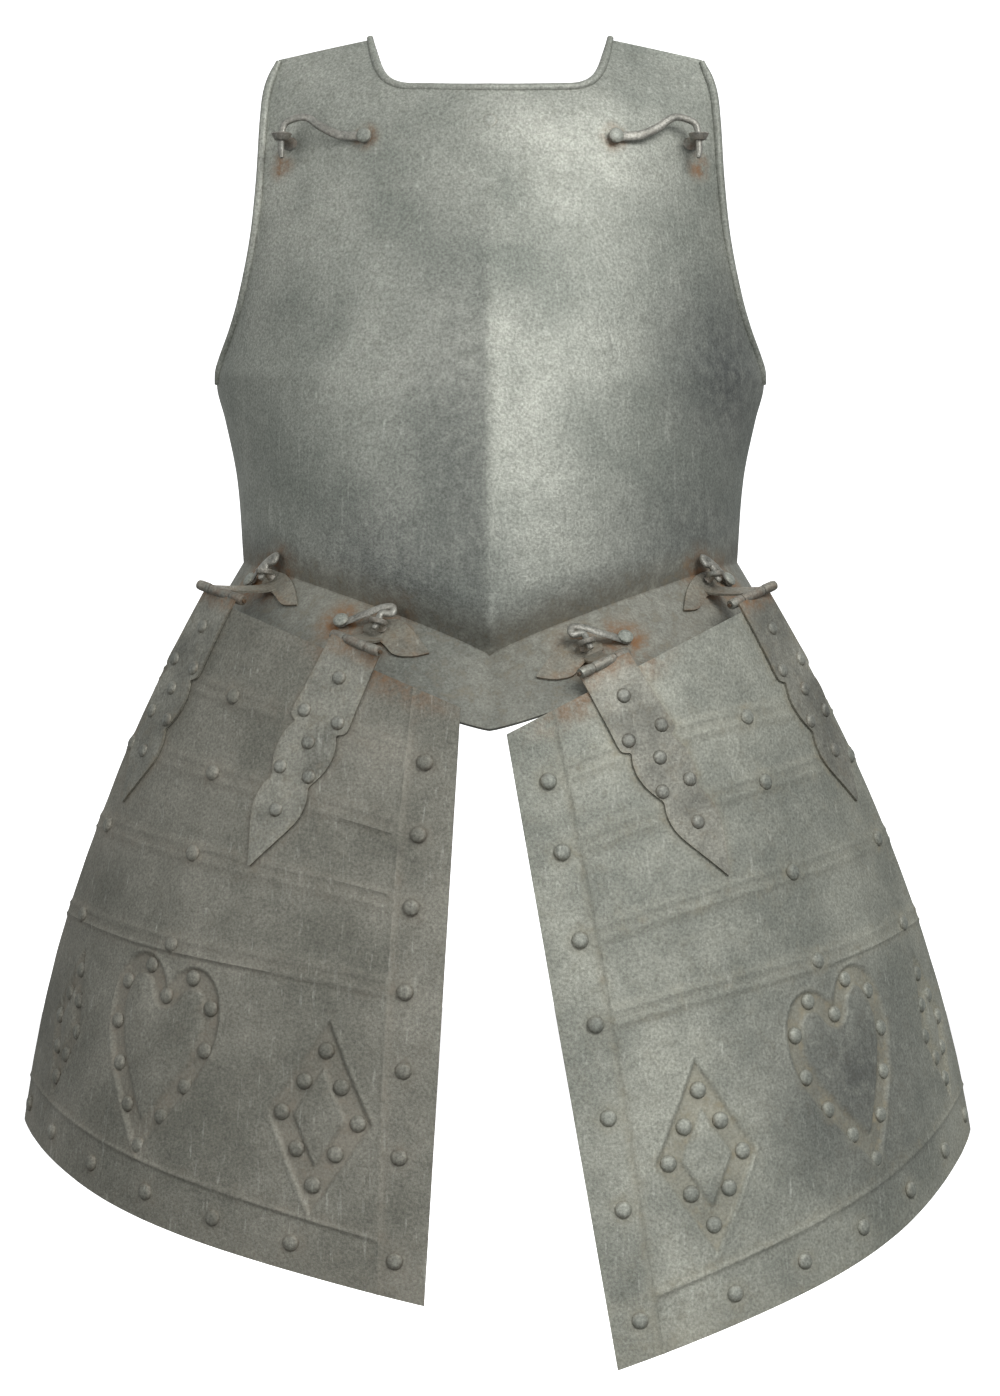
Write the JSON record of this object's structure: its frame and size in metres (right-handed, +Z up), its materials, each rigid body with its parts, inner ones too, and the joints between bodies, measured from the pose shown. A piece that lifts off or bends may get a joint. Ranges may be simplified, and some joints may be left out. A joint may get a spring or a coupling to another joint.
{
  "type": "steel breastplate with hinged tassets",
  "caption": "Keeled steel breastplate with a waist flange, swivel hooks at the shoulders and skirt, and a pair of strap-hinged tassets embossed as lames with hearts and diamonds.",
  "frame": {"origin": "inside the hollow of the breast, on its median plane at the height of the waist, where the wearer's body holds it", "axes": "+Z up, the chest faces -Y, +X to the right as seen from the front"},
  "size_m": [0.6378, 0.2465, 0.8467],
  "materials": {
    "breast_steel": "old blackened steel plate, finely pitted, grey-green with brown dust",
    "tasset_steel_left": "darker brown-grey steel plate, pitted, with dust in the low places",
    "tasset_steel_right": "grey steel plate, finely pitted, with darker stains",
    "hinge_steel": "grey-brown steel, worn",
    "pin_iron": "rusty iron",
    "hook_iron": "bare forged iron, worn, with rust at the pivots"
  },
  "bodies": {
    "breast": {"breastplate": "breast_steel", "hinge_leaf_inner_left": "hinge_steel", "hinge_leaf_outer_left": "hinge_steel", "hinge_leaf_inner_right": "hinge_steel", "hinge_leaf_outer_right": "hinge_steel", "hinge_pin_inner_left": "pin_iron", "hinge_pin_outer_left": "pin_iron", "hinge_pin_inner_right": "pin_iron", "hinge_pin_outer_right": "pin_iron", "shoulder_lug_left": "hook_iron", "shoulder_lug_right": "hook_iron", "skirt_stud_inner_left": "hook_iron", "skirt_stud_outer_left": "hook_iron", "skirt_stud_inner_right": "hook_iron", "skirt_stud_outer_right": "hook_iron"},
    "tasset_left": {"tasset_plate_left": "tasset_steel_left", "hinge_strap_inner_left": "hinge_steel", "hinge_strap_outer_left": "hinge_steel"},
    "tasset_right": {"tasset_plate_right": "tasset_steel_right", "hinge_strap_inner_right": "hinge_steel", "hinge_strap_outer_right": "hinge_steel"},
    "shoulder_hook_left": {"shoulder_hook_left": "hook_iron"},
    "shoulder_hook_right": {"shoulder_hook_right": "hook_iron"},
    "skirt_hook_inner_left": {"skirt_hook_inner_left": "hook_iron"},
    "skirt_hook_outer_left": {"skirt_hook_outer_left": "hook_iron"},
    "skirt_hook_inner_right": {"skirt_hook_inner_right": "hook_iron"},
    "skirt_hook_outer_right": {"skirt_hook_outer_right": "hook_iron"}
  },
  "joints": [
    {"name": "tasset_hinge_left", "type": "hinge", "parent": "breast", "child": "tasset_left", "pos_m": [-0.08374, -0.18053, 0.03579], "axis": [-0.7609, 0.5833, 0.2842], "range_deg": [0, 95]},
    {"name": "tasset_hinge_right", "type": "hinge", "parent": "breast", "child": "tasset_right", "pos_m": [0.07145, -0.18267, 0.02334], "axis": [-0.7573, -0.5554, -0.3435], "range_deg": [0, 95]},
    {"name": "shoulder_hook_swivel_left", "type": "hinge", "parent": "breast", "child": "shoulder_hook_left", "pos_m": [-0.081, -0.09299, 0.367], "axis": [0.3452, 0.9127, -0.2187], "range_deg": [0, 75]},
    {"name": "shoulder_hook_swivel_right", "type": "hinge", "parent": "breast", "child": "shoulder_hook_right", "pos_m": [0.081, -0.09299, 0.367], "axis": [0.3459, -0.9124, 0.2187], "range_deg": [0, 75]},
    {"name": "skirt_hook_swivel_inner_left", "type": "hinge", "parent": "breast", "child": "skirt_hook_inner_left", "pos_m": [-0.09403, -0.13863, 0.04891], "axis": [-0.2847, -0.7374, 0.6125], "range_deg": [0, 18]},
    {"name": "skirt_hook_swivel_outer_left", "type": "hinge", "parent": "breast", "child": "skirt_hook_outer_left", "pos_m": [-0.15632, -0.06553, 0.07753], "axis": [-0.6744, -0.4748, 0.5655], "range_deg": [0, 12]},
    {"name": "skirt_hook_swivel_inner_right", "type": "hinge", "parent": "breast", "child": "skirt_hook_inner_right", "pos_m": [0.08531, -0.15056, 0.03811], "axis": [-0.2391, 0.7534, -0.6126], "range_deg": [0, 37]},
    {"name": "skirt_hook_swivel_outer_right", "type": "hinge", "parent": "breast", "child": "skirt_hook_outer_right", "pos_m": [0.15518, -0.06687, 0.07775], "axis": [-0.6675, 0.4822, -0.5673], "range_deg": [0, 16]}
  ]
}
